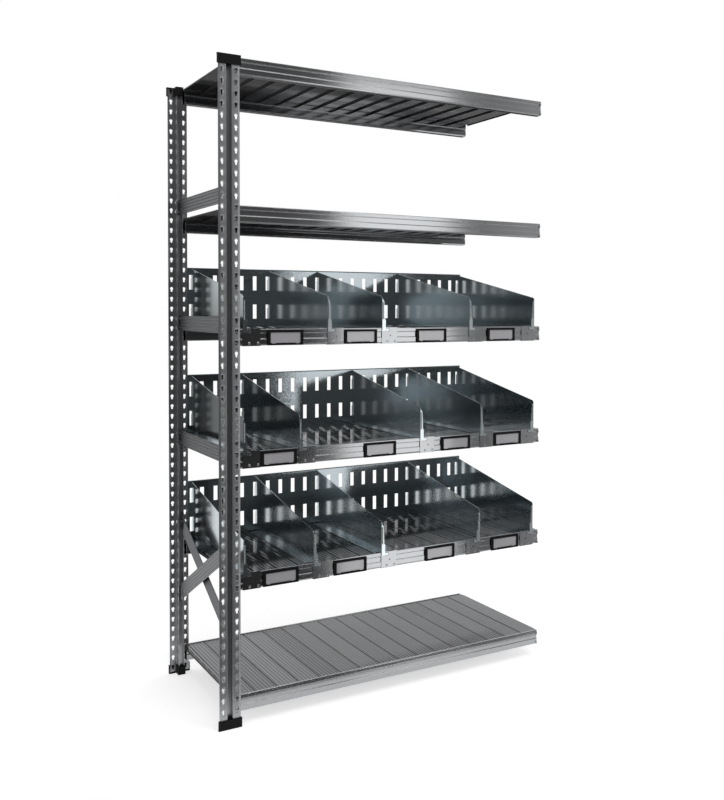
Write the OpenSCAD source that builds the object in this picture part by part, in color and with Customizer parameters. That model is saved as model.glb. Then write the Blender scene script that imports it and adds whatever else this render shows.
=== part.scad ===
// Divider shelving: one bay of bolt-free steel shelving with a single side frame,
// six shelves, and three levels of slotted back panels, hook-in dividers, front
// clips and label holders. The free end hooks onto the frame of the next bay.
// Millimetres, Z up. The front is at -Y, the side frame at -X. The origin lies on
// the floor under the middle of the box.

/* [Frame] */
// number of holes up each flange, which sets the height
hole_count = 60; // [60:1:80]
// distance from one hole to the next
hole_pitch = 33.33; // [30:0.01:34]
// depth over the outside faces of both uprights
frame_d = 500; // [350:5:700]
// width of an upright over both flanges
flange_w = 67; // [64:1:80]
// sheet thickness of an upright
upright_t = 1.5; // [1.2:0.1:1.6]
// width of the stem behind the flanges
stem_w = 19; // [18:0.5:22]
// depth of the stem from the outside face
stem_d = 28; // [27:0.5:36]
// depth of the groove down the outside of the stem
groove_d = 16; // [12:0.5:17]
// radius of the round part of a hole
hole_r = 5.2; // [4.5:0.1:5.5]
// radius of the narrow tail of a hole
tail_r = 3.2; // [2.8:0.1:3.6]
// height of the black caps and feet
cap_h = 29; // [22:1:34]
// height of the ribbed ties and braces
tie_h = 50; // [40:1:56]
// height of the middle of the lowest tie
tie_low_z = 816; // [780:1:840]
// distance from one tie to the next
tie_step = 390; // [340:1:400]
// height of the low ends of the crossed braces
brace_low_z = 280; // [200:1:320]
// height of the high ends of the crossed braces
brace_high_z = 528; // [480:1:640]

/* [Shelves] */
// clear width from this frame to the next one
clear_w = 1120; // [1000:5:1400]
// holes from one shelf to the next on the lower five shelves
shelf_step = 11; // [10:1:11]
// face height of a beam
beam_h = 50; // [48:1:56]
// depth of a beam from its face
beam_d = 28; // [24:1:36]
// sheet thickness of a beam
beam_t = 1.2; // [1:0.1:1.5]
// number of deck panels on a shelf
panel_count = 16; // [12:1:20]
// depth of the side walls of a deck panel
panel_drop = 6; // [4:0.5:12]
// sheet thickness of a deck panel
deck_t = 0.8; // [0.6:0.1:1]

/* [Dividers] */
// height of a back panel over the beam
back_h = 200; // [170:1:240]
// width of a slot in the back panel
slot_w = 14; // [10:0.5:18]
// height of a slot in the back panel
slot_h = 50; // [45:1:60]
// height of a divider at its front
divider_front_h = 101; // [70:1:130]
// width of the flange down the front of a divider
divider_flange_w = 13; // [10:0.5:16]
// width of the foot of a divider on the deck
divider_foot_w = 22; // [15:1:30]
// sheet thickness of dividers and clips
divider_t = 1.2; // [1:0.1:1.2]
// travel of a divider when it is lifted out
divider_lift = 12; // [10:0.5:14]
// width of a divider clip
clip_w = 57; // [45:1:57]
// widest label holder
label_w = 118; // [80:1:118]
// height of a label holder
label_h = 46; // [38:1:46]
// width of the frame round a label window
label_rim = 9.5; // [6:0.5:12]

/* [Hidden] */
$fn = 48;
eps = 0.01;
// running gap between pieces that move on each other
gap = 0.3;
// overrun of a cut beyond the face it opens
cut = 1;
shelf_count = 6;
slot_count = 22;
divider_count = 5;
// shelves counted from the floor that carry back panels
divided = [1, 2, 3];
// slots that hold the three inner dividers on each divided shelf
slot_pick = [[4, 9, 17], [3, 12, 17], [5, 9, 16]];
// dividers made left-handed: flange and clip on the left
left_hand = [[false, false, false, true, true],
             [false, false, false, false, true],
             [false, false, false, false, true]];
// place of a label holder in its free span, 0 left and 1 right
label_place = [[0.11, 0.20, 0.69, 0.85], [0, 0.65, 0.38, 0.5], [0.21, 0.05, 0.44, 0.38]];

first_hole_z = 15;
tail_drop = 8;
track_in = 12;
collar_w = 2;
collar_t = 0.8;
lip_w = 5;
lip_drop = 1.5;
lip_lap = 0.3;
lip_edge = 0.4;
wall_t = 2;
bend = 2;
cap_wall = 2.75;
cap_gap = 0.25;
cap_out = cap_wall + cap_gap;
sole_t = 3;
frame_h = hole_count * hole_pitch;
steel_h = frame_h - 2 * sole_t;
stem_x0 = (flange_w - stem_w) / 2;
stem_x1 = stem_x0 + stem_w;
wing_y = lip_drop + upright_t;

beam_play = 0.5;
face_y = wing_y + beam_play;
hook_lap = 16;
beam_x0 = flange_w - hook_lap;
far_x = flange_w + clear_w;
beam_x1 = far_x + hook_lap;
tooth_shift = 5;
tooth_up = 6;
rim_w = 6;
rim_c = 1;
ledge = 4;
upper_band = 12;
lower_band = 19;
channel_d = 1.6;
beam_toe = 4;
web_step = 2;
web_low = 0.6;
web_high = 0.45;
bottom_hole = 1;

tie_t = 1.2;
tie_amp = 3;
tie_ribs = 5;
rib_foot = 0.08;
rib_crest = 0.3;
tab_t = 2;
tab_lap = 2;
tab_over = 4;
bolt_r = 3;
bolt_hole_r = 3.2;
bolt_af_r = 5.8;
bolt_head_h = 4;
bolt_nut_h = 3.5;
bolt_y = (groove_d + upright_t + stem_d) / 2;
tie_play = 0.8;
tie_y0 = groove_d + upright_t + tie_play;
bolt_pair = 15;
brace_off = 3.7;
brace_angle = atan2(brace_high_z - brace_low_z, frame_d - 2 * bolt_y);
brace_l = (frame_d - 2 * bolt_y) / cos(brace_angle);

rib_h = 0.8;
rib_count = 6;
rib_valley = 0.3;
rib_slope = 0.2;
edge_bevel = 1.5;
edge_drop = 1;
seam_gap = 0.6;
// the deck reaches from stem to stem behind the flanges, with its corners cut out
// round the caps and the nuts
deck_gap = 0.5;
deck_x0 = stem_x1 + deck_gap;
deck_l = clear_w + 2 * (flange_w - deck_x0);
panel_pitch = deck_l / panel_count;
corner_x = max(cap_out, bolt_nut_h) + gap - deck_gap;
corner_y = stem_d + cap_out + gap;
deck_play = 1;
deck_y0 = face_y + rim_w + deck_play;
wall_y = face_y + beam_d + beam_play;
back_gap = 5.5;
deck_y1 = frame_d - face_y - rim_w - back_gap;
deck_base = edge_drop + deck_t - ledge;
deck_top = deck_base + rib_h;

back_t = 1;
back_play = 1.2;
back_y0 = deck_y1 + back_play;
back_y1 = back_y0 + back_t;
back_bead_r = 4;
back_over = 5;
back_x0 = flange_w - back_over;
back_l = clear_w + 2 * back_over;
slot_edge = 25;
slot_margin = 45.5;
end_margin = 9;
slot_pitch = (clear_w - 2 * slot_margin) / (slot_count - 1);

div_z0 = deck_top + gap;
div_y0 = face_y - 2 * divider_t - gap;
back_clear = 0.5;
div_y1 = back_y0 - back_clear;
rim_clear = 2.5;
div_in_y = face_y + rim_w + rim_clear;
rear_drop = 4;
div_rear_h = back_h - rear_drop;
nose_r = 9;
nose_steps = 5;
clip_clear = 0.8;
flange_top = 16;
flange_mid_w = 9.5;
flange_top_w = 7;
flange_c = 3;
flange_rise = 5;
foot_front = 6;
foot_rear = 10;
hook_drop = 8;
hook_t = 3;
toe_l = 24;
toe_low = 10;
toe_high = 3;
bead_r = 2.4;
bead_x = 3.2;
bead_z0 = 28;

clip_lap = 1;
clip_foot_l = 9;
clip_hole_r = 2.5;
clip_hole_at = 0.53;
toe_play = 2;
dimple_r = 4;
dimple_top_r = 2;
dimple_t = 1.2;
dimple_up = 3;
dimple_at = [0.35, 0.85];
label_back_t = 1.2;
label_front_t = 1.5;
card_t = 0.8;
label_drop = 4;
label_floor = 5;
label_side = 5.5;
label_end = 1;
sill_up = 2;
sill = label_floor + sill_up;
notch_in = 4;
notch_w = 12;
notch_h = 3;
card_top = 3;

mid_x = (deck_x0 + deck_l - seam_gap / 2 - cap_out) / 2;
mid_y = frame_d / 2;

zinc = [0.72, 0.74, 0.76];
zinc_dark = [0.55, 0.57, 0.60];
black = [0.07, 0.07, 0.08];
paper = [0.90, 0.90, 0.88];

function hole_z(i) = first_hole_z + i * hole_pitch;
function level_hole(k) = k == shelf_count - 1 ? hole_count - 2 : bottom_hole + k * shelf_step;
function level_z(k) = hole_z(level_hole(k)) + hole_pitch / 2 + beam_h / 2 + tooth_shift;
function slot_x(i) = flange_w + slot_margin + i * slot_pitch;
function div_x(d, i) =
    i == 0 ? flange_w + end_margin
    : i == divider_count - 1 ? far_x - end_margin
    : slot_x(slot_pick[d][i - 1]);
// free span of the front beam between divider i and divider i + 1
function span_0(d, i) = div_x(d, i) + (left_hand[d][i] ? clip_lap : clip_w - clip_lap);
function span_1(d, i) = div_x(d, i + 1) - (left_hand[d][i + 1] ? clip_w - clip_lap : clip_lap);
least_span = min([for (d = [0 : len(divided) - 1])
    for (i = [0 : divider_count - 2]) span_1(d, i) - span_0(d, i)]);
holder_w = min(label_w, least_span - 2 * label_end);
function label_x(d, i) =
    span_0(d, i) + label_end
    + label_place[d][i] * (span_1(d, i) - span_0(d, i) - holder_w - 2 * label_end);
card_w = holder_w - 2 * label_side - 2 * gap;
card_h = label_h - label_floor - gap - card_top;
card_y = face_y - label_back_t - gap - card_t;

// every node is drawn in bench coordinates: x from the left flange edge, y from the
// front face of the front upright, z from the floor
module place() {
    translate([-mid_x, -mid_y, 0])
        children();
}

module to_rear() {
    translate([0, frame_d, 0])
        mirror([0, 1, 0])
            children();
}

// a flat shape in x and z becomes a plate from y to y + t
module plate_xz(y, t) {
    translate([0, y + t, 0])
        rotate([90, 0, 0])
            linear_extrude(height = t)
                children();
}

// a flat shape in y and z becomes a bar from x to x + l
module bar_x(x, l) {
    translate([x, 0, 0])
        rotate([90, 0, 90])
            linear_extrude(height = l)
                children();
}

module half_section() {
    polygon([[lip_w, 0], [stem_x0 + wall_t - bend, 0], [stem_x0 + wall_t, bend],
             [stem_x0 + wall_t, groove_d],
             [flange_w / 2, groove_d], [flange_w / 2, groove_d + upright_t],
             [stem_x0 + wall_t, groove_d + upright_t], [stem_x0 + wall_t, stem_d],
             [stem_x0, stem_d], [stem_x0, upright_t], [lip_w + lip_lap, upright_t],
             [lip_edge, wing_y], [0, lip_drop]]);
}

module upright_section() {
    half_section();
    translate([flange_w, 0])
        mirror([1, 0])
            half_section();
}

module keyhole(grow) {
    circle(r = tail_r + grow);
    translate([0, tail_drop])
        circle(r = hole_r + grow);
    translate([-tail_r - grow, 0])
        square([2 * (tail_r + grow), tail_drop]);
}

module bolt_places(r) {
    for (z = [tie_low_z, tie_low_z + tie_step, tie_low_z + 2 * tie_step])
        for (s = [-1, 1])
            translate([0, bolt_y, z + s * bolt_pair])
                children();
    for (z = r)
        translate([0, bolt_y, z])
            children();
}

module upright(brace_z) {
    difference() {
        union() {
            translate([0, 0, sole_t])
                linear_extrude(height = steel_h)
                    upright_section();
            for (x = [track_in, flange_w - track_in])
                for (i = [1 : hole_count - 2])
                    translate([x, 0, hole_z(i)])
                        plate_xz(-collar_t, collar_t + upright_t / 2)
                            keyhole(collar_w);
        }
        for (x = [track_in, flange_w - track_in])
            for (i = [0 : hole_count - 1])
                translate([x, 0, hole_z(i)])
                    plate_xz(-cut, upright_t + 2 * cut)
                        keyhole(0);
        bolt_places(brace_z)
            rotate([0, 90, 0])
                cylinder(r = bolt_hole_r, h = flange_w);
    }
}

module cap_outline(grow) {
    translate([-grow, -grow])
        square([flange_w + 2 * grow, wing_y + 2 * grow]);
    translate([stem_x0 - grow, -grow])
        square([stem_w + 2 * grow, stem_d + 2 * grow]);
}

// black cap standing on its closed end, sized over the collars of the holes
module cap() {
    difference() {
        linear_extrude(height = cap_h)
            cap_outline(cap_out);
        translate([0, 0, sole_t])
            linear_extrude(height = cap_h)
                cap_outline(cap_gap);
        for (x = [-flange_w, stem_x1 + cap_out])
            translate([x, wing_y + cap_gap, sole_t])
                cube([flange_w + stem_x0 - cap_out, stem_d, cap_h]);
    }
}

module top_cap() {
    translate([0, 0, frame_h])
        mirror([0, 0, 1])
            cap();
}

module tie_wave(x) {
    step = tie_h / tie_ribs;
    near = [for (i = [0 : tie_ribs - 1])
        for (p = [[0, rib_foot], [tie_amp, rib_crest],
                  [tie_amp, 1 - rib_crest], [0, 1 - rib_foot]])
            [x + p[0], -tie_h / 2 + (i + p[1]) * step]];
    edge_0 = [[x, -tie_h / 2]];
    edge_1 = [[x, tie_h / 2]];
    line = concat(edge_0, near, edge_1);
    n = len(line);
    polygon(concat(line, [for (i = [1:n]) line[n - i] + [tie_t, 0]]));
}

// ribbed strip along y from 0 to l, flat at both ends, middle at x = 0
module strip(l, flat) {
    translate([0, l - flat, 0])
        rotate([90, 0, 0])
            linear_extrude(height = l - 2 * flat)
                tie_wave(-(tie_amp + tie_t) / 2);
    for (y = [0, l - flat - tab_lap])
        translate([-tab_t / 2, y, -tie_h / 2])
            cube([tab_t, flat + tab_lap, tie_h]);
}

module tie(n) {
    z = tie_low_z + n * tie_step;
    difference() {
        translate([flange_w / 2, tie_y0, z])
            strip(frame_d - 2 * tie_y0, stem_d + tab_over - tie_y0);
        for (y = [bolt_y, frame_d - bolt_y])
            for (s = [-1, 1])
                translate([stem_x0, y, z + s * bolt_pair])
                    rotate([0, 90, 0])
                        cylinder(r = bolt_hole_r, h = stem_w);
    }
}

module brace(z_front, tilt, x) {
    z_rear = brace_low_z + brace_high_z - z_front;
    over = tie_h;
    difference() {
        intersection() {
            translate([x, bolt_y, z_front])
                rotate([tilt, 0, 0])
                    translate([0, -over, 0])
                        strip(brace_l + 2 * over, over + stem_d);
            translate([0, tie_y0, 0])
                cube([flange_w, frame_d - 2 * tie_y0, frame_h]);
        }
        for (p = [[bolt_y, z_front], [frame_d - bolt_y, z_rear]])
            translate([stem_x0, p[0], p[1]])
                rotate([0, 90, 0])
                    cylinder(r = bolt_hole_r, h = stem_w);
    }
}

module bolt() {
    translate([stem_x0 - bolt_head_h, 0, 0])
        rotate([0, 90, 0])
            cylinder(r = bolt_af_r, h = bolt_head_h, $fn = 6);
    translate([stem_x0 - eps, 0, 0])
        rotate([0, 90, 0])
            cylinder(r = bolt_r, h = stem_w + 2 * eps);
    translate([stem_x1, 0, 0])
        rotate([0, 90, 0])
            cylinder(r = bolt_af_r, h = bolt_nut_h, $fn = 6);
}

// section of a beam with a shallow channel along its face
module beam_outline() {
    low = beam_h - lower_band;
    polygon([[0, -rim_c], [0, -upper_band], [channel_d, -upper_band - channel_d],
             [channel_d, -low + channel_d], [0, -low], [0, -beam_h + beam_toe],
             [beam_toe / 2, -beam_h], [beam_d - beam_toe, -beam_h],
             [beam_d, -beam_h + beam_toe], [beam_d, -beam_h * web_low],
             [beam_d - web_step, -beam_h * web_low + web_step],
             [beam_d - web_step, -beam_h * web_high],
             [beam_d, -beam_h * web_high + web_step], [beam_d, -ledge], [rim_w, -ledge],
             [rim_w, -rim_c], [rim_w - rim_c, 0], [rim_c, 0]]);
}

module beam_hollow() {
    low = beam_h - lower_band;
    e = beam_t;
    h = beam_t / 2;
    polygon([[e, -ledge - e], [e, -upper_band + h], [channel_d + e, -upper_band - channel_d + h],
             [channel_d + e, -low + channel_d - h], [e, -low - h], [e, -beam_h + beam_toe + h],
             [beam_toe / 2 + h, -beam_h + e], [beam_d - beam_toe - h, -beam_h + e],
             [beam_d - e, -beam_h + beam_toe + h], [beam_d - e, -beam_h * web_low - h],
             [beam_d - web_step - e, -beam_h * web_low + web_step - h],
             [beam_d - web_step - e, -beam_h * web_high + h],
             [beam_d - e, -beam_h * web_high + web_step + h], [beam_d - e, -ledge - e]]);
}

module tooth() {
    circle(r = tail_r - gap);
    translate([-tail_r + gap, 0])
        square([2 * (tail_r - gap), tooth_up]);
}

module front_beam(k) {
    color(zinc)
        place() {
            translate([0, face_y, level_z(k)])
                bar_x(beam_x0, beam_x1 - beam_x0)
                    difference() {
                        beam_outline();
                        beam_hollow();
                    }
            for (x = [flange_w - track_in, far_x + track_in])
                for (i = [0, 1])
                    translate([x, 0, hole_z(level_hole(k) + i)])
                        plate_xz(gap, face_y + channel_d + beam_t - gap)
                            tooth();
        }
}

module rear_beam(k) {
    translate([0, -mid_y, 0])
        to_rear()
            translate([0, mid_y, 0])
                front_beam(k);
}

module panel_sheet(w) {
    step = (w - 2 * edge_bevel) / rib_count;
    wave = [for (i = [0 : rib_count - 1])
        for (p = [[0, 0], [rib_valley, 0], [rib_valley + rib_slope, rib_h], [1 - rib_slope, rib_h]])
            [edge_bevel + (i + p[0]) * step, p[1]]];
    line = concat([[0, -edge_drop]], wave, [[w - edge_bevel, 0], [w, -edge_drop]]);
    n = len(line);
    polygon(concat(line, [for (i = [1:n]) line[n - i] - [0, deck_t]]));
}

module panel_wall() {
    translate([0, -panel_drop])
        square([deck_t, panel_drop - edge_drop - deck_t / 2]);
}

module deck_panel() {
    w = panel_pitch - seam_gap;
    translate([seam_gap / 2, 0, 0]) {
        plate_xz(deck_y0, deck_y1 - deck_y0)
            panel_sheet(w);
        for (x = [0, w - deck_t])
            translate([x, 0, 0])
                plate_xz(wall_y, frame_d - 2 * wall_y)
                    panel_wall();
    }
}

module end_panel() {
    difference() {
        deck_panel();
        for (y = [0, frame_d - corner_y])
            translate([-cut, y, -panel_drop - cut])
                cube([corner_x + cut, corner_y, panel_drop + rib_h + 2 * cut]);
    }
}

module deck(k) {
    color(zinc_dark)
        place()
            translate([deck_x0, 0, level_z(k) + deck_base]) {
                end_panel();
                for (i = [1 : panel_count - 2])
                    translate([i * panel_pitch, 0, 0])
                        deck_panel();
                translate([deck_l, 0, 0])
                    mirror([1, 0, 0])
                        end_panel();
            }
}

module slot_pair(x) {
    for (z = [slot_edge, back_h - slot_edge - slot_h])
        translate([x - slot_w / 2, z])
            square([slot_w, slot_h]);
}

module back_panel(d) {
    color(zinc_dark)
        place()
            translate([0, 0, level_z(divided[d])]) {
                plate_xz(back_y0, back_t)
                    difference() {
                        translate([back_x0, -ledge])
                            square([back_l, back_h + ledge - back_bead_r]);
                        for (i = [0 : slot_count - 1])
                            slot_pair(slot_x(i));
                        slot_pair(div_x(d, 0));
                        slot_pair(div_x(d, divider_count - 1));
                    }
                translate([back_x0, back_y0 + back_bead_r, back_h - back_bead_r])
                    rotate([0, 90, 0])
                        difference() {
                            cylinder(r = back_bead_r, h = back_l);
                            translate([0, 0, -cut])
                                cylinder(r = back_bead_r - back_t, h = back_l + 2 * cut);
                        }
            }
}

// side view of a divider with its two hooks and its toe, z from the top of the beam
module divider_outline() {
    rise = (div_rear_h - divider_front_h) / (div_y1 - div_y0);
    nose_z = divider_front_h + nose_r * (rise - sqrt(1 + rise * rise));
    nose_turn = 90 - atan(rise);
    nose = [for (i = [0 : nose_steps])
        [div_y0 + nose_r - nose_r * cos(nose_turn * (1 - i / nose_steps)),
         nose_z + nose_r * sin(nose_turn * (1 - i / nose_steps))]];
    hook_y = back_y1 + gap;
    tongues = [for (s = [slot_edge, back_h - slot_edge - slot_h])
        for (p = [[div_y1, s + gap], [hook_y, s + gap], [hook_y, s - hook_drop],
                  [hook_y + hook_t, s - hook_drop + hook_t],
                  [hook_y + hook_t, s + slot_h - divider_lift - gap],
                  [div_y1, s + slot_h - divider_lift - gap]])
            p];
    polygon(concat([[div_y1, div_z0]], tongues, [[div_y1, div_rear_h]], nose,
        [[div_y0, -toe_low], [div_y0 + divider_t, -toe_low],
         [div_y0 + divider_t, divider_t + clip_clear], [div_in_y, divider_t + clip_clear],
         [div_in_y, div_z0]]));
}

// right-handed divider with its sheet from x = 0 to divider_t
module divider_body() {
    bar_x(0, divider_t)
        divider_outline();
    plate_xz(div_y0, divider_t)
        polygon([[0, -toe_low], [toe_l, -toe_low], [toe_l, -toe_high],
                 [divider_flange_w, -toe_high], [divider_flange_w, bead_z0 - bead_r],
                 [flange_mid_w, bead_z0], [flange_top_w, divider_front_h - flange_top],
                 [flange_top_w - flange_c, divider_front_h - flange_top + flange_rise],
                 [0, divider_front_h - nose_r]]);
    translate([bead_x, div_y0 + divider_t / 2, bead_z0])
        cylinder(r = bead_r, h = divider_front_h - flange_top - bead_z0);
    translate([-divider_foot_w, div_in_y + foot_front, div_z0])
        cube([divider_foot_w + divider_t / 2, div_y1 - div_in_y - foot_front - foot_rear,
              divider_t]);
}

module hand(d, i) {
    if (left_hand[d][i])
        mirror([1, 0, 0])
            children();
    else
        children();
}

module divider(d, i) {
    color(zinc_dark)
        place()
            translate([div_x(d, i), 0, level_z(divided[d])])
                hand(d, i)
                    divider_body();
}

module clip() {
    difference() {
        union() {
            plate_xz(face_y - divider_t, divider_t)
                translate([-clip_lap, -beam_h])
                    square([clip_w, beam_h + divider_t]);
            translate([-clip_lap, face_y - divider_t, 0])
                cube([clip_w, rim_w + divider_t - rim_c, divider_t]);
            translate([-clip_lap, face_y - divider_t, -beam_h - divider_t])
                cube([clip_w, clip_foot_l, divider_t]);
            for (u = dimple_at)
                translate([clip_w * u, face_y - divider_t + eps, -beam_h + dimple_r + dimple_up])
                    rotate([90, 0, 0])
                        cylinder(r1 = dimple_r, r2 = dimple_top_r, h = dimple_t + eps);
        }
        plate_xz(face_y - divider_t - cut, divider_t + cut)
            translate([clip_w * clip_hole_at, -beam_h / 2])
                circle(r = clip_hole_r);
        plate_xz(face_y - divider_t - cut, divider_t + cut)
            translate([divider_flange_w - toe_play, -toe_low - toe_play])
                square([toe_l - divider_flange_w + 2 * toe_play,
                        toe_low - toe_high + 2 * toe_play]);
    }
}

module label_window() {
    translate([label_rim, sill])
        square([holder_w - 2 * label_rim, label_h - 2 * sill]);
    for (x = [label_rim + notch_in, holder_w - label_rim - notch_in - notch_w])
        translate([x, sill - notch_h])
            square([notch_w, notch_h + cut]);
}

module label_holder() {
    pocket = card_t + 2 * gap;
    difference() {
        plate_xz(face_y - label_back_t - pocket - label_front_t,
                 label_back_t + pocket + label_front_t)
            square([holder_w, label_h]);
        translate([label_side, face_y - label_back_t - pocket, label_floor])
            cube([holder_w - 2 * label_side, pocket, label_h]);
        plate_xz(face_y - label_back_t - pocket - label_front_t - cut,
                 label_front_t + cut + pocket / 2)
            label_window();
    }
}

module label_card(d, i) {
    color(paper)
        place()
            translate([label_x(d, i) + label_side + gap, card_y,
                       level_z(divided[d]) - label_drop - label_h + label_floor + gap])
                cube([card_w, card_t, card_h]);
}

module front_upright() {
    color(zinc)
        place()
            upright([brace_low_z, brace_high_z]);
}

module rear_upright() {
    color(zinc)
        place()
            to_rear()
                upright([brace_low_z, brace_high_z]);
}

module top_caps() {
    color(black)
        place() {
            top_cap();
            to_rear()
                top_cap();
        }
}

module feet() {
    color(black)
        place() {
            cap();
            to_rear()
                cap();
        }
}

module lower_side_tie() {
    color(zinc)
        place()
            tie(0);
}

module middle_side_tie() {
    color(zinc)
        place()
            tie(1);
}

module upper_side_tie() {
    color(zinc)
        place()
            tie(2);
}

module rising_brace() {
    color(zinc)
        place()
            brace(brace_low_z, brace_angle, flange_w / 2 + brace_off);
}

module falling_brace() {
    color(zinc)
        place()
            brace(brace_high_z, -brace_angle, flange_w / 2 - brace_off);
}

module brace_bolts() {
    color(zinc)
        place() {
            bolt_places([brace_low_z, brace_high_z])
                bolt();
            to_rear()
                bolt_places([brace_low_z, brace_high_z])
                    bolt();
        }
}

module divider_clips() {
    color(zinc)
        place()
            for (d = [0 : len(divided) - 1])
                for (i = [0 : divider_count - 1])
                    translate([div_x(d, i), 0, level_z(divided[d])])
                        hand(d, i)
                            clip();
}

module label_holders() {
    color(black)
        place()
            for (d = [0 : len(divided) - 1])
                for (i = [0 : divider_count - 2])
                    translate([label_x(d, i), 0, level_z(divided[d]) - label_drop - label_h])
                        label_holder();
}

module front_beam_1() {
    front_beam(0);
}

module front_beam_2() {
    front_beam(1);
}

module front_beam_3() {
    front_beam(2);
}

module front_beam_4() {
    front_beam(3);
}

module front_beam_5() {
    front_beam(4);
}

module front_beam_6() {
    front_beam(5);
}

module rear_beam_1() {
    rear_beam(0);
}

module rear_beam_2() {
    rear_beam(1);
}

module rear_beam_3() {
    rear_beam(2);
}

module rear_beam_4() {
    rear_beam(3);
}

module rear_beam_5() {
    rear_beam(4);
}

module rear_beam_6() {
    rear_beam(5);
}

module deck_1() {
    deck(0);
}

module deck_2() {
    deck(1);
}

module deck_3() {
    deck(2);
}

module deck_4() {
    deck(3);
}

module deck_5() {
    deck(4);
}

module deck_6() {
    deck(5);
}

module back_panel_2() {
    back_panel(0);
}

module back_panel_3() {
    back_panel(1);
}

module back_panel_4() {
    back_panel(2);
}

module divider_2_1() {
    divider(0, 0);
}

module divider_2_2() {
    divider(0, 1);
}

module divider_2_3() {
    divider(0, 2);
}

module divider_2_4() {
    divider(0, 3);
}

module divider_2_5() {
    divider(0, 4);
}

module divider_3_1() {
    divider(1, 0);
}

module divider_3_2() {
    divider(1, 1);
}

module divider_3_3() {
    divider(1, 2);
}

module divider_3_4() {
    divider(1, 3);
}

module divider_3_5() {
    divider(1, 4);
}

module divider_4_1() {
    divider(2, 0);
}

module divider_4_2() {
    divider(2, 1);
}

module divider_4_3() {
    divider(2, 2);
}

module divider_4_4() {
    divider(2, 3);
}

module divider_4_5() {
    divider(2, 4);
}

module label_card_2_1() {
    label_card(0, 0);
}

module label_card_2_2() {
    label_card(0, 1);
}

module label_card_2_3() {
    label_card(0, 2);
}

module label_card_2_4() {
    label_card(0, 3);
}

module label_card_3_1() {
    label_card(1, 0);
}

module label_card_3_2() {
    label_card(1, 1);
}

module label_card_3_3() {
    label_card(1, 2);
}

module label_card_3_4() {
    label_card(1, 3);
}

module label_card_4_1() {
    label_card(2, 0);
}

module label_card_4_2() {
    label_card(2, 1);
}

module label_card_4_3() {
    label_card(2, 2);
}

module label_card_4_4() {
    label_card(2, 3);
}

front_upright();
rear_upright();
top_caps();
feet();
lower_side_tie();
middle_side_tie();
upper_side_tie();
rising_brace();
falling_brace();
brace_bolts();
front_beam_1();
front_beam_2();
front_beam_3();
front_beam_4();
front_beam_5();
front_beam_6();
rear_beam_1();
rear_beam_2();
rear_beam_3();
rear_beam_4();
rear_beam_5();
rear_beam_6();
deck_1();
deck_2();
deck_3();
deck_4();
deck_5();
deck_6();
back_panel_2();
back_panel_3();
back_panel_4();
divider_2_1();
divider_2_2();
divider_2_3();
divider_2_4();
divider_2_5();
divider_3_1();
divider_3_2();
divider_3_3();
divider_3_4();
divider_3_5();
divider_4_1();
divider_4_2();
divider_4_3();
divider_4_4();
divider_4_5();
divider_clips();
label_holders();
label_card_2_1();
label_card_2_2();
label_card_2_3();
label_card_2_4();
label_card_3_1();
label_card_3_2();
label_card_3_3();
label_card_3_4();
label_card_4_1();
label_card_4_2();
label_card_4_3();
label_card_4_4();
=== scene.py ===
"""Looks of a bay of divider shelving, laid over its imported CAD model."""
import math

import bpy
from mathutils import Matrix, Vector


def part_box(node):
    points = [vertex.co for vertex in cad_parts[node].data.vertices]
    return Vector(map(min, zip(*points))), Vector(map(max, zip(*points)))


bl_info = {
    "name": "Divider shelving",
    "version": (1, 0, 0),
    "blender": (4, 5, 0),
    "location": "View3D > Sidebar > Shelving",
    "description": "Finishes, stage and camera for a bay of galvanised divider shelving",
    "category": "Object",
}

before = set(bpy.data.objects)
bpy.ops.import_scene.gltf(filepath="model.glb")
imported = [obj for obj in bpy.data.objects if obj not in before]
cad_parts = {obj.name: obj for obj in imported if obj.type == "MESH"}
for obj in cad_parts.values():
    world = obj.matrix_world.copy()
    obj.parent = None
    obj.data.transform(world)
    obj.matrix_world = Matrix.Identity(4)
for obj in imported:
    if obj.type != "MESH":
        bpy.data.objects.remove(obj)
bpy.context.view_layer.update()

DIVIDED_SHELVES = (2, 3, 4)
ALL_SHELVES = (1, 2, 3, 4, 5, 6)
DIVIDERS = range(1, 6)
CARDS = range(1, 5)

# Zinc: noise scales per metre, shares of the tone and of the gloss, depth of a drawn line.
WOBBLE_SCALE, WOBBLE_SHARE = 90.0, 0.006
CLOUD_SCALE = 5.0
# Edges and bends are lighter in tone: partly rubbed wear, partly a painted highlight.
EDGE_GAIN, EDGE_TONE = 3.0, 0.6
CLOUD_GLOSS, LINE_GLOSS = 0.08, 0.06
LINE_BUMP, LINE_DEPTH = 0.015, 0.0003

# Deck panels: spread of their tones, and the painted shade and dirt in a seam, with its core and
# its end.
PANEL_TONE = 0.4
SEAM_CORE, SEAM_END = 0.0013, 0.0027
SEAM_LEAST, SEAM_SPREAD = 0.65, 0.35
SEAM_DULL = 0.6
SEAM_SHADE_COLOUR = (0.012, 0.012, 0.012, 1.0)

BOLT_ROUGHNESS, BOLT_CRYSTAL = 0.26, 0.003

WHITE = (1.0, 1.0, 1.0, 1.0)

# Each lamp: name, place, aim, width and height, power.
LAMPS = (
    ("strip_box", (2.1, -3.75, 0.85), (2.1, 0.0, 0.85), (1.0, 4.3), 23.0),
    ("top_front_box", (0.2, -2.4, 4.2), (0.0, 0.0, 0.9), (3.0, 1.6), 36.0),
    ("top_box", (0.0, 0.0, 4.4), (0.0, 0.0, 0.0), (3.0, 3.0), 24.0),
)


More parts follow.
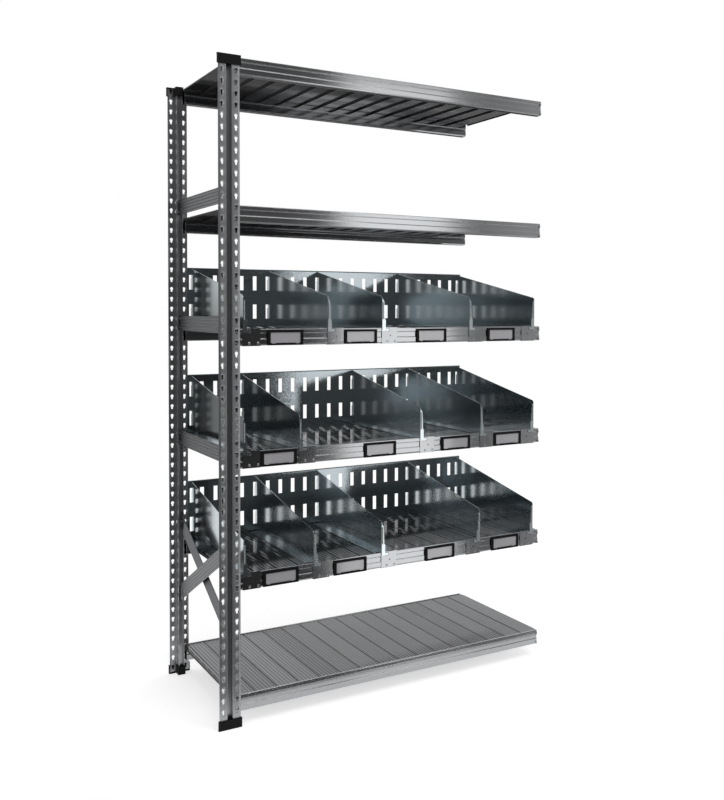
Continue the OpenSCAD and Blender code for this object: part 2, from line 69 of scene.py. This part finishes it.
class ShelvingFinish(bpy.types.PropertyGroup):
    """Colours and finishes of the steel, the plastic and the cards."""

    zinc_light: bpy.props.FloatVectorProperty(
        name="Zinc light", description="Light crystals of the rolled sections",
        subtype="COLOR", size=3, default=(0.46, 0.47, 0.48), min=0, max=1)
    zinc_dark: bpy.props.FloatVectorProperty(
        name="Zinc dark", description="Dark crystals of the rolled sections",
        subtype="COLOR", size=3, default=(0.30, 0.308, 0.316), min=0, max=1)
    deck_light: bpy.props.FloatVectorProperty(
        name="Deck light", description="Light crystals of the decks",
        subtype="COLOR", size=3, default=(0.16, 0.165, 0.171), min=0, max=1)
    deck_dark: bpy.props.FloatVectorProperty(
        name="Deck dark", description="Dark crystals of the decks",
        subtype="COLOR", size=3, default=(0.065, 0.067, 0.07), min=0, max=1)
    tie_light: bpy.props.FloatVectorProperty(
        name="Tie light", description="Light crystals of the ties and braces",
        subtype="COLOR", size=3, default=(0.25, 0.256, 0.264), min=0, max=1)
    tie_dark: bpy.props.FloatVectorProperty(
        name="Tie dark", description="Dark crystals of the ties and braces",
        subtype="COLOR", size=3, default=(0.14, 0.144, 0.15), min=0, max=1)
    sheet_light: bpy.props.FloatVectorProperty(
        name="Sheet light", description="Light crystals of the back panels",
        subtype="COLOR", size=3, default=(0.37, 0.41, 0.43), min=0, max=1)
    sheet_dark: bpy.props.FloatVectorProperty(
        name="Sheet dark", description="Dark crystals of the back panels",
        subtype="COLOR", size=3, default=(0.25, 0.285, 0.30), min=0, max=1)
    # The dividers' zinc is made paler to stand in for light reaching them: painted light over the
    # sheet's own tone.
    divider_light: bpy.props.FloatVectorProperty(
        name="Divider light", description="Light crystals of the dividers",
        subtype="COLOR", size=3, default=(0.63, 0.68, 0.70), min=0, max=1)
    divider_dark: bpy.props.FloatVectorProperty(
        name="Divider dark", description="Dark crystals of the dividers",
        subtype="COLOR", size=3, default=(0.46, 0.505, 0.52), min=0, max=1)
    crystal_size: bpy.props.FloatProperty(
        name="Crystal size", description="Mean width of a zinc crystal",
        subtype="DISTANCE", unit="LENGTH", default=0.0025, min=0.001, max=0.05)
    section_roughness: bpy.props.FloatProperty(
        name="Section roughness", description="Blur of reflections in the uprights and ties",
        subtype="FACTOR", default=0.36, min=0, max=1)
    beam_roughness: bpy.props.FloatProperty(
        name="Beam roughness", description="Blur of reflections in the beams and the clips",
        subtype="FACTOR", default=0.13, min=0, max=1)
    sheet_roughness: bpy.props.FloatProperty(
        name="Sheet roughness", description="Blur of reflections in the back panels",
        subtype="FACTOR", default=0.11, min=0, max=1)
    panel_count: bpy.props.IntProperty(
        name="Deck panels", description="Panels side by side on a shelf",
        default=16, min=1, max=40)
    divider_roughness: bpy.props.FloatProperty(
        name="Divider roughness", description="Blur of reflections in the dividers",
        subtype="FACTOR", default=0.15, min=0, max=1)
    deck_roughness: bpy.props.FloatProperty(
        name="Deck roughness", description="Blur of reflections in the decks",
        subtype="FACTOR", default=0.08, min=0, max=1)
    edge_round: bpy.props.FloatProperty(
        name="Edge round", description="Radius of the rounded, rubbed edges of the steel",
        subtype="DISTANCE", unit="LENGTH", default=0.0003, min=0.0001, max=0.004)
    bend_round: bpy.props.FloatProperty(
        name="Bend round", description="Radius of the bends of the rolled sections",
        subtype="DISTANCE", unit="LENGTH", default=0.0028, min=0.0005, max=0.008)
    plastic: bpy.props.FloatVectorProperty(
        name="Plastic", description="Black plastic of caps, feet and label holders",
        subtype="COLOR", size=3, default=(0.004, 0.004, 0.0042), min=0, max=1)
    card: bpy.props.FloatVectorProperty(
        name="Card", description="Blank label cards",
        subtype="COLOR", size=3, default=(0.45, 0.44, 0.465), min=0, max=1)


class ShelvingStage(bpy.types.PropertyGroup):
    """Floor and camera."""

    camera_place: bpy.props.FloatVectorProperty(
        name="Camera place", description="Where the camera stands",
        subtype="TRANSLATION", unit="LENGTH", size=3, default=(-1.5275, -2.8283, 1.2590))
    camera_turn: bpy.props.FloatProperty(
        name="Camera turn", description="Heading of the camera, clockwise from the rear",
        subtype="ANGLE", unit="ROTATION", default=0.52366)
    camera_tilt: bpy.props.FloatProperty(
        name="Camera tilt", description="Upward tilt of the camera",
        subtype="ANGLE", unit="ROTATION", default=-0.0308)
    camera_roll: bpy.props.FloatProperty(
        name="Camera roll", description="Lean of the camera about its line of sight",
        subtype="ANGLE", unit="ROTATION", default=0.0029)
    lens: bpy.props.FloatProperty(
        name="Lens", description="Focal length on a sensor 36 mm high",
        subtype="DISTANCE_CAMERA", unit="CAMERA", default=41.398, min=10, max=200)
    lens_shift: bpy.props.FloatVectorProperty(
        name="Lens shift", description="Shift of the lens across and up",
        size=2, default=(-0.02956, -0.07963), min=-1, max=1)
    floor_size: bpy.props.FloatProperty(
        name="Floor size", description="Edge of the floor",
        subtype="DISTANCE", unit="LENGTH", default=7.0, min=4, max=40)
    floor_front: bpy.props.FloatProperty(
        name="Floor front", description="How far the floor reaches in front of the middle",
        subtype="DISTANCE", unit="LENGTH", default=0.42, min=0.3, max=20)
    floor_colour: bpy.props.FloatVectorProperty(
        name="Floor colour", description="Colour of the pale floor",
        subtype="COLOR", size=3, default=(0.86, 0.86, 0.86), min=0, max=1)
    floor_glow: bpy.props.FloatProperty(
        name="Floor glow", description="What the floor lacks to white, for the rays that show it",
        subtype="FACTOR", default=0.6, min=0, max=1)


class Shade:
    """One socket of a node tree. Maths on it adds Math nodes, and node() adds any other node."""

    def __init__(self, tree, socket=None):
        self.tree = tree
        self.socket = socket

    def node(self, kind, sockets=None, out=0, **settings):
        """Add a node, with its settings first and then the values or links of its sockets."""
        made = self.tree.nodes.new(kind)
        for name, value in settings.items():
            if name == "stops":
                ramp = made.color_ramp.elements
                while len(ramp) < len(value):
                    ramp.new(0.5)
                for stop, (place, level) in zip(ramp, value):
                    stop.position = place
                    stop.color = (level, level, level, 1)
            else:
                setattr(made, name, value)
        for name, value in (sockets or {}).items():
            if isinstance(value, Shade):
                self.tree.links.new(value.socket, made.inputs[name])
            else:
                made.inputs[name].default_value = value
        return Shade(self.tree, made.outputs[out]) if made.outputs else None

    def maths(self, operation, first, second=0.0):
        return self.node("ShaderNodeMath", {0: first, 1: second}, operation=operation)

    def __add__(self, other):
        return self.maths("ADD", self, other)

    __radd__ = __add__

    def __sub__(self, other):
        return self.maths("SUBTRACT", self, other)

    def __rsub__(self, other):
        return self.maths("SUBTRACT", other, self)

    def __mul__(self, other):
        return self.maths("MULTIPLY", self, other)

    __rmul__ = __mul__

    def vector(self, operation, first, second=(0.0, 0.0, 0.0), out="Vector"):
        return self.node("ShaderNodeVectorMath", {0: first, 1: second}, out=out,
                         operation=operation)

    def plus(self, other):
        return self.vector("ADD", self, other)

    def times(self, factor):
        return self.vector("MULTIPLY", self, (factor, factor, factor))

    def dot(self, other):
        return self.vector("DOT_PRODUCT", self, other, out="Value")

    def unit(self):
        return self.vector("NORMALIZE", self)

    def clamp(self):
        return self.node("ShaderNodeClamp", {"Value": self})

    def mix(self, first, second):
        """Blend two colours, with this value as the share of the second."""
        return self.node("ShaderNodeMix", {0: self, 6: first, 7: second}, out=2, data_type="RGBA")

    def noise(self, scale, detail, roughness=0.5, out=0):
        """Noise at this place."""
        return self.node("ShaderNodeTexNoise", {
            "Vector": self, "Scale": scale, "Detail": detail, "Roughness": roughness}, out=out)

    def ramp(self, start, end, low, high, **settings):
        """Low up to start, high from end on, and a rise or fall between."""
        return self.node("ShaderNodeMapRange", {
            "Value": self, "From Min": start, "From Max": end,
            "To Min": low, "To Max": high}, **settings)


def new_material(name):
    """An empty material and the start of its node tree."""
    material = bpy.data.materials.new(name)
    material.use_nodes = True
    material.node_tree.nodes.clear()
    return material, Shade(material.node_tree)


def close_material(start, sockets):
    """Put a principled shader with these sockets at the end of the tree."""
    shader = start.node("ShaderNodeBsdfPrincipled", sockets)
    start.node("ShaderNodeOutputMaterial", {"Surface": shader})


def rgba(colour):
    return (*colour, 1.0)


def galvanised(name, light, dark, roughness, crystal, drawn, round_edge,
               lean=0.004, streak=0.25, cloudy=0.3, spangle=0.02, panels=None):
    """Hot-dip zinc: leaning crystals, drawn lines, clouds, and lighter edges and bends: rubbed
    wear and painted highlight.

    drawn holds the scale of the drawn lines along each axis, small along the rolling direction.
    panels holds the left end and the pitch of separate panels, each with a tone of its own and
    with painted shade and dirt darkening the seam to the next one.
    """
    material, start = new_material(name)
    place = start.node("ShaderNodeTexCoord", out="Object")
    wobble = place.noise(WOBBLE_SCALE, 3.0, out="Color")
    shaken = start.node("ShaderNodeMix", {0: WOBBLE_SHARE, 4: place, 5: wobble}, out=1,
                        data_type="VECTOR")
    tint = start.node("ShaderNodeTexVoronoi", {"Vector": shaken, "Scale": 1.0 / crystal},
                      out="Color")
    crystal_tone = start.node("ShaderNodeSeparateColor", {"Color": tint}, out="Red")
    crystal_gloss = start.node("ShaderNodeSeparateColor", {"Color": tint}, out="Green")
    cloud = place.noise(CLOUD_SCALE, 6.0, 0.62)
    along = start.node("ShaderNodeMapping", {"Vector": place, "Scale": drawn})
    line = along.noise(1.0, 3.0, 0.6)
    face = start.node("ShaderNodeNewGeometry", out="Normal")
    rounded = start.node("ShaderNodeBevel", {"Radius": round_edge}, samples=4)
    # Lighter tone where the rounded normal leans from the face: rubbed wear on edges, and a
    # painted highlight along edges and bends.
    edge_wear_and_highlight = (1 - rounded.dot(face)) * EDGE_GAIN
    tone = crystal_tone * spangle + line * streak + cloud * cloudy + edge_wear_and_highlight * EDGE_TONE
    level = 0.5 - 0.5 * (spangle + streak + cloudy)
    dull = ((cloud - 0.5) * CLOUD_GLOSS + (crystal_gloss - 0.5) * spangle
            + (line - 0.5) * LINE_GLOSS + roughness)
    metal = 1.0
    if panels:
        left_end, pitch = panels
        across = start.node("ShaderNodeSeparateXYZ", {"Vector": place}, out="X")
        panel = (across - left_end) * (1.0 / pitch)
        batch = start.node("ShaderNodeTexWhiteNoise", {"W": start.maths("FLOOR", panel)},
                           noise_dimensions="1D")
        tone = tone + (batch - 0.5) * PANEL_TONE
        # Near each seam the colour darkens to near black: painted shade in the gap between
        # panels, with dirt.
        to_seam = start.maths("PINGPONG", start.maths("FRACT", panel), 0.5) * pitch
        seam_shade_and_dirt = (to_seam.ramp(SEAM_CORE, SEAM_END, 1.0, 0.0)
                 * (batch * SEAM_SPREAD + SEAM_LEAST))
        dull = dull + seam_shade_and_dirt * SEAM_DULL
        metal = 1 - seam_shade_and_dirt
    colour = (tone + level).clamp().mix(rgba(dark), rgba(light))
    if panels:
        colour = seam_shade_and_dirt.mix(colour, SEAM_SHADE_COLOUR)
    leaning = rounded.plus(tint.plus((-0.5, -0.5, -0.5)).times(lean)).unit()
    bump = start.node("ShaderNodeBump", {
        "Height": line, "Normal": leaning, "Strength": LINE_BUMP, "Distance": LINE_DEPTH})
    close_material(start, {
        "Base Color": colour,
        "Metallic": metal,
        "Roughness": dull.clamp(),
        "Normal": bump,
    })
    return material


def black_plastic(name, colour):
    """Moulded black plastic with a fine grain and a faint bloom."""
    material, start = new_material(name)
    place = start.node("ShaderNodeTexCoord", out="Object")
    grain = place.noise(900.0, 3.0)
    bloom = place.noise(35.0, 4.0)
    pale = tuple(channel * 2.2 for channel in colour)
    bump = start.node("ShaderNodeBump", {"Height": grain, "Strength": 0.25, "Distance": 0.0003})
    close_material(start, {
        "Base Color": (bloom * 0.8 + grain * 0.2).clamp().mix(rgba(colour), rgba(pale)),
        "Roughness": bloom * 0.18 + grain * 0.12 + 0.40,
        "Specular IOR Level": 0.15,
        "Normal": bump,
    })
    return material


def card_stock(name, colour):
    """Card with fibres and a slight unevenness, under a clear film."""
    material, start = new_material(name)
    place = start.node("ShaderNodeTexCoord", out="Object")
    squeezed = start.node("ShaderNodeMapping", {"Vector": place, "Scale": (260.0, 260.0, 900.0)})
    fibre = squeezed.noise(1.0, 5.0)
    patch = place.noise(28.0, 3.0)
    pale = tuple(min(1.0, channel * 1.22) for channel in colour)
    bump = start.node("ShaderNodeBump", {"Height": fibre, "Strength": 0.15, "Distance": 0.0002})
    close_material(start, {
        "Base Color": (fibre * 0.5 + patch * 0.5).clamp().mix(rgba(colour), rgba(pale)),
        "Roughness": fibre * 0.15 + 0.62,
        "Coat Weight": 1.0,
        "Coat Roughness": 0.06,
        "Coat IOR": 1.8,
        "Normal": bump,
    })
    return material


def dress(material, nodes):
    """Give CAD nodes a finish."""
    for name in nodes:
        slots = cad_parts[name].data.materials
        slots.clear()
        slots.append(material)


class SHELVING_OT_frame(bpy.types.Operator):
    """Finish the uprights, ties, braces and bolts of the side frame"""

    bl_idname = "shelving.frame"
    bl_label = "Side frame"

    def execute(self, context):
        finish = context.scene.shelving_finish
        upright = galvanised("zinc_uprights", finish.zinc_light, finish.zinc_dark,
                             finish.section_roughness, finish.crystal_size,
                             drawn=(340.0, 340.0, 5.0), round_edge=finish.bend_round)
        dress(upright, ("front_upright", "rear_upright"))
        tie = galvanised("zinc_ties", finish.tie_light, finish.tie_dark,
                         finish.section_roughness, finish.crystal_size,
                         drawn=(300.0, 5.0, 300.0), round_edge=finish.bend_round)
        dress(tie, ("lower_side_tie", "middle_side_tie", "upper_side_tie",
                    "rising_brace", "falling_brace"))
        bolt = galvanised("zinc_bolts", finish.zinc_light, finish.zinc_light,
                          BOLT_ROUGHNESS, BOLT_CRYSTAL,
                          drawn=(500.0, 500.0, 500.0), round_edge=finish.edge_round)
        dress(bolt, ("brace_bolts",))
        return {"FINISHED"}


class SHELVING_OT_beams(bpy.types.Operator):
    """Finish the front and rear beams"""

    bl_idname = "shelving.beams"
    bl_label = "Beams"

    def execute(self, context):
        finish = context.scene.shelving_finish
        zinc = galvanised("zinc_beams", finish.zinc_light, finish.zinc_dark,
                          finish.beam_roughness, finish.crystal_size,
                          drawn=(4.0, 320.0, 320.0), round_edge=finish.bend_round,
                          streak=0.15, cloudy=0.2)
        dress(zinc, [f"{side}_beam_{k}" for side in ("front", "rear") for k in ALL_SHELVES])
        return {"FINISHED"}


class SHELVING_OT_decks(bpy.types.Operator):
    """Finish the ribbed deck panels"""

    bl_idname = "shelving.decks"
    bl_label = "Decks"

    def execute(self, context):
        finish = context.scene.shelving_finish
        low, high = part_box("deck_1")
        pitch = (high[0] - low[0]) / finish.panel_count
        zinc = galvanised("zinc_decks", finish.deck_light, finish.deck_dark,
                          finish.deck_roughness, finish.crystal_size,
                          drawn=(240.0, 4.0, 240.0), round_edge=finish.edge_round,
                          streak=0.4, panels=(low[0], pitch))
        dress(zinc, [f"deck_{k}" for k in ALL_SHELVES])
        return {"FINISHED"}


class SHELVING_OT_back_panels(bpy.types.Operator):
    """Finish the slotted back panels"""

    bl_idname = "shelving.back_panels"
    bl_label = "Back panels"

    def execute(self, context):
        finish = context.scene.shelving_finish
        sheet = galvanised("sheet_backs", finish.sheet_light, finish.sheet_dark,
                           finish.sheet_roughness, finish.crystal_size,
                           drawn=(6.0, 260.0, 260.0), round_edge=finish.edge_round,
                           lean=0.02, streak=0.1, cloudy=0.4, spangle=0.05)
        dress(sheet, [f"back_panel_{k}" for k in DIVIDED_SHELVES])
        return {"FINISHED"}


class SHELVING_OT_dividers(bpy.types.Operator):
    """Finish the sloping dividers"""

    bl_idname = "shelving.dividers"
    bl_label = "Dividers"

    def execute(self, context):
        finish = context.scene.shelving_finish
        sheet = galvanised("sheet_dividers", finish.divider_light, finish.divider_dark,
                           finish.divider_roughness, finish.crystal_size,
                           drawn=(260.0, 260.0, 6.0), round_edge=finish.edge_round,
                           streak=0.1, cloudy=0.4)
        dress(sheet, [f"divider_{k}_{i}" for k in DIVIDED_SHELVES for i in DIVIDERS])
        return {"FINISHED"}


class SHELVING_OT_clips(bpy.types.Operator):
    """Finish the divider clips on the front beams"""

    bl_idname = "shelving.clips"
    bl_label = "Divider clips"

    def execute(self, context):
        finish = context.scene.shelving_finish
        zinc = galvanised("zinc_clips", finish.zinc_light, finish.zinc_dark,
                          finish.beam_roughness, finish.crystal_size * 0.6,
                          drawn=(180.0, 180.0, 180.0), round_edge=finish.edge_round,
                          streak=0.1)
        dress(zinc, ("divider_clips",))
        return {"FINISHED"}


class SHELVING_OT_plastic(bpy.types.Operator):
    """Finish the caps, the feet and the label holders"""

    bl_idname = "shelving.plastic"
    bl_label = "Plastic pieces"

    def execute(self, context):
        finish = context.scene.shelving_finish
        plastic = black_plastic("black_plastic", finish.plastic)
        dress(plastic, ("top_caps", "feet", "label_holders"))
        return {"FINISHED"}


class SHELVING_OT_cards(bpy.types.Operator):
    """Finish the blank label cards"""

    bl_idname = "shelving.cards"
    bl_label = "Label cards"

    def execute(self, context):
        finish = context.scene.shelving_finish
        card = card_stock("label_card", finish.card)
        dress(card, [f"label_card_{k}_{i}" for k in DIVIDED_SHELVES for i in CARDS])
        return {"FINISHED"}


def soft_box(name, place, aim, size, power):
    """A rectangular studio lamp at place that points at aim."""
    lamp = bpy.data.lights.new(name, "AREA")
    lamp.shape = "RECTANGLE"
    lamp.size, lamp.size_y = size
    lamp.energy = power
    holder = bpy.data.objects.new(name, lamp)
    bpy.context.scene.collection.objects.link(holder)
    holder.location = place
    way = holder.location - type(holder.location)(aim)
    holder.rotation_euler = way.to_track_quat("Z", "Y").to_euler()


class SHELVING_OT_stage(bpy.types.Operator):
    """Set the floor, the lamps, the surroundings and the camera"""

    bl_idname = "shelving.stage"
    bl_label = "Stage"

    def execute(self, context):
        stage = context.scene.shelving_stage
        self.lay_floor(stage)
        for lamp in LAMPS:
            soft_box(*lamp)
        self.surround(context.scene)
        self.set_camera(context.scene, stage)
        context.scene.view_settings.view_transform = "Standard"
        return {"FINISHED"}

    def lay_floor(self, stage):
        half = stage.floor_size / 2
        front = stage.floor_front
        mesh = bpy.data.meshes.new("floor")
        corners = [(-half, -front, 0), (half, -front, 0), (half, half, 0), (-half, half, 0)]
        mesh.from_pydata(corners, [], [(0, 1, 2, 3)])
        floor = bpy.data.objects.new("floor", mesh)
        bpy.context.scene.collection.objects.link(floor)
        material, start = new_material("pale_floor")
        seen = self.white_rays(start)
        glow = start.node("ShaderNodeEmission", {
            "Color": WHITE, "Strength": seen * stage.floor_glow})
        matt = start.node("ShaderNodeBsdfDiffuse", {"Color": rgba(stage.floor_colour)})
        both = start.node("ShaderNodeAddShader", {0: matt, 1: glow})
        start.node("ShaderNodeOutputMaterial", {"Surface": both})
        mesh.materials.append(material)

    def white_rays(self, start):
        """One for the rays that show white: straight from the camera, in metal and in glass."""
        direct = start.node("ShaderNodeLightPath", out="Is Camera Ray")
        mirrored = start.node("ShaderNodeLightPath", out="Is Glossy Ray")
        through = start.node("ShaderNodeLightPath", out="Is Transmission Ray")
        return (direct + mirrored + through).clamp()

    def surround(self, scene):
        """Dark in front, paler at the sides, above and underfoot, and white behind the bay."""
        world = bpy.data.worlds.new("studio")
        scene.world = world
        world.use_nodes = True
        world.node_tree.nodes.clear()
        start = Shade(world.node_tree)
        heading = start.node("ShaderNodeTexCoord", out="Generated")
        right = start.node("ShaderNodeSeparateXYZ", {"Vector": heading}, out="X")
        rear = start.node("ShaderNodeSeparateXYZ", {"Vector": heading}, out="Y")
        height = start.node("ShaderNodeSeparateXYZ", {"Vector": heading}, out="Z")
        left_level = right.ramp(-0.35, -0.05, 0.16, 0.035)
        right_level = right.ramp(0.56, 0.63, 0.0, 0.5)
        upper_level = height.ramp(0.0, 0.08, 0.0, 0.08)
        overhead = height.ramp(0.27, 0.42, 0.0, 0.25)
        underfoot = height.ramp(-0.52, -0.42, 0.35, 0.0)
        front_level = left_level + right_level + upper_level + overhead + underfoot
        rear_low = start.node("ShaderNodeValToRGB", {"Fac": right},
                              stops=((0.30, 0.22), (0.45, 0.10), (0.60, 0.05), (0.70, 0.44)))
        rear_high = 0.44
        rise = height.ramp(-0.06, 0.06, 0.0, 1.0)
        rear_level = rear_low + (rear_high - rear_low) * rise
        share = rear.ramp(-0.2, 0.3, 0.0, 1.0, interpolation_type="SMOOTHSTEP")
        level = front_level + (rear_level - front_level) * share
        backdrop = self.white_rays(start) * share * rise
        seen = start.node("ShaderNodeLightPath", out="Is Camera Ray")
        strength = start.maths("MAXIMUM", level, start.maths("MAXIMUM", backdrop, seen))
        sky = start.node("ShaderNodeBackground", {"Color": WHITE, "Strength": strength})
        start.node("ShaderNodeOutputWorld", {"Surface": sky})

    def set_camera(self, scene, stage):
        lens = bpy.data.cameras.new("photo_camera")
        lens.sensor_fit = "VERTICAL"
        lens.sensor_height = 36.0
        lens.lens = stage.lens
        lens.shift_x, lens.shift_y = stage.lens_shift
        lens.clip_end = 100.0
        holder = bpy.data.objects.new("photo_camera", lens)
        scene.collection.objects.link(holder)
        holder.location = stage.camera_place
        holder.rotation_euler = (
            math.pi / 2 + stage.camera_tilt, -stage.camera_roll, -stage.camera_turn)
        scene.camera = holder


class SHELVING_PT_panel(bpy.types.Panel):
    """The steps of the shelving in the sidebar"""

    bl_idname = "SHELVING_PT_panel"
    bl_label = "Divider shelving"
    bl_space_type = "VIEW_3D"
    bl_region_type = "UI"
    bl_category = "Shelving"

    def draw(self, context):
        column = self.layout.column()
        for step in STEPS:
            column.operator(step.bl_idname)
        for group in (context.scene.shelving_finish, context.scene.shelving_stage):
            box = self.layout.box()
            for name in group.bl_rna.properties.keys():
                if name not in {"rna_type", "name"}:
                    box.prop(group, name)


STEPS = (
    SHELVING_OT_frame,
    SHELVING_OT_beams,
    SHELVING_OT_decks,
    SHELVING_OT_back_panels,
    SHELVING_OT_dividers,
    SHELVING_OT_clips,
    SHELVING_OT_plastic,
    SHELVING_OT_cards,
    SHELVING_OT_stage,
)
CLASSES = (ShelvingFinish, ShelvingStage, *STEPS, SHELVING_PT_panel)


def register():
    for cls in CLASSES:
        bpy.utils.register_class(cls)
    bpy.types.Scene.shelving_finish = bpy.props.PointerProperty(type=ShelvingFinish)
    bpy.types.Scene.shelving_stage = bpy.props.PointerProperty(type=ShelvingStage)


def unregister():
    del bpy.types.Scene.shelving_stage
    del bpy.types.Scene.shelving_finish
    for cls in reversed(CLASSES):
        bpy.utils.unregister_class(cls)


def main():
    register()
    bpy.ops.shelving.frame()
    bpy.ops.shelving.beams()
    bpy.ops.shelving.decks()
    bpy.ops.shelving.back_panels()
    bpy.ops.shelving.dividers()
    bpy.ops.shelving.clips()
    bpy.ops.shelving.plastic()
    bpy.ops.shelving.cards()
    bpy.ops.shelving.stage()


if __name__ == "__main__":
    main()
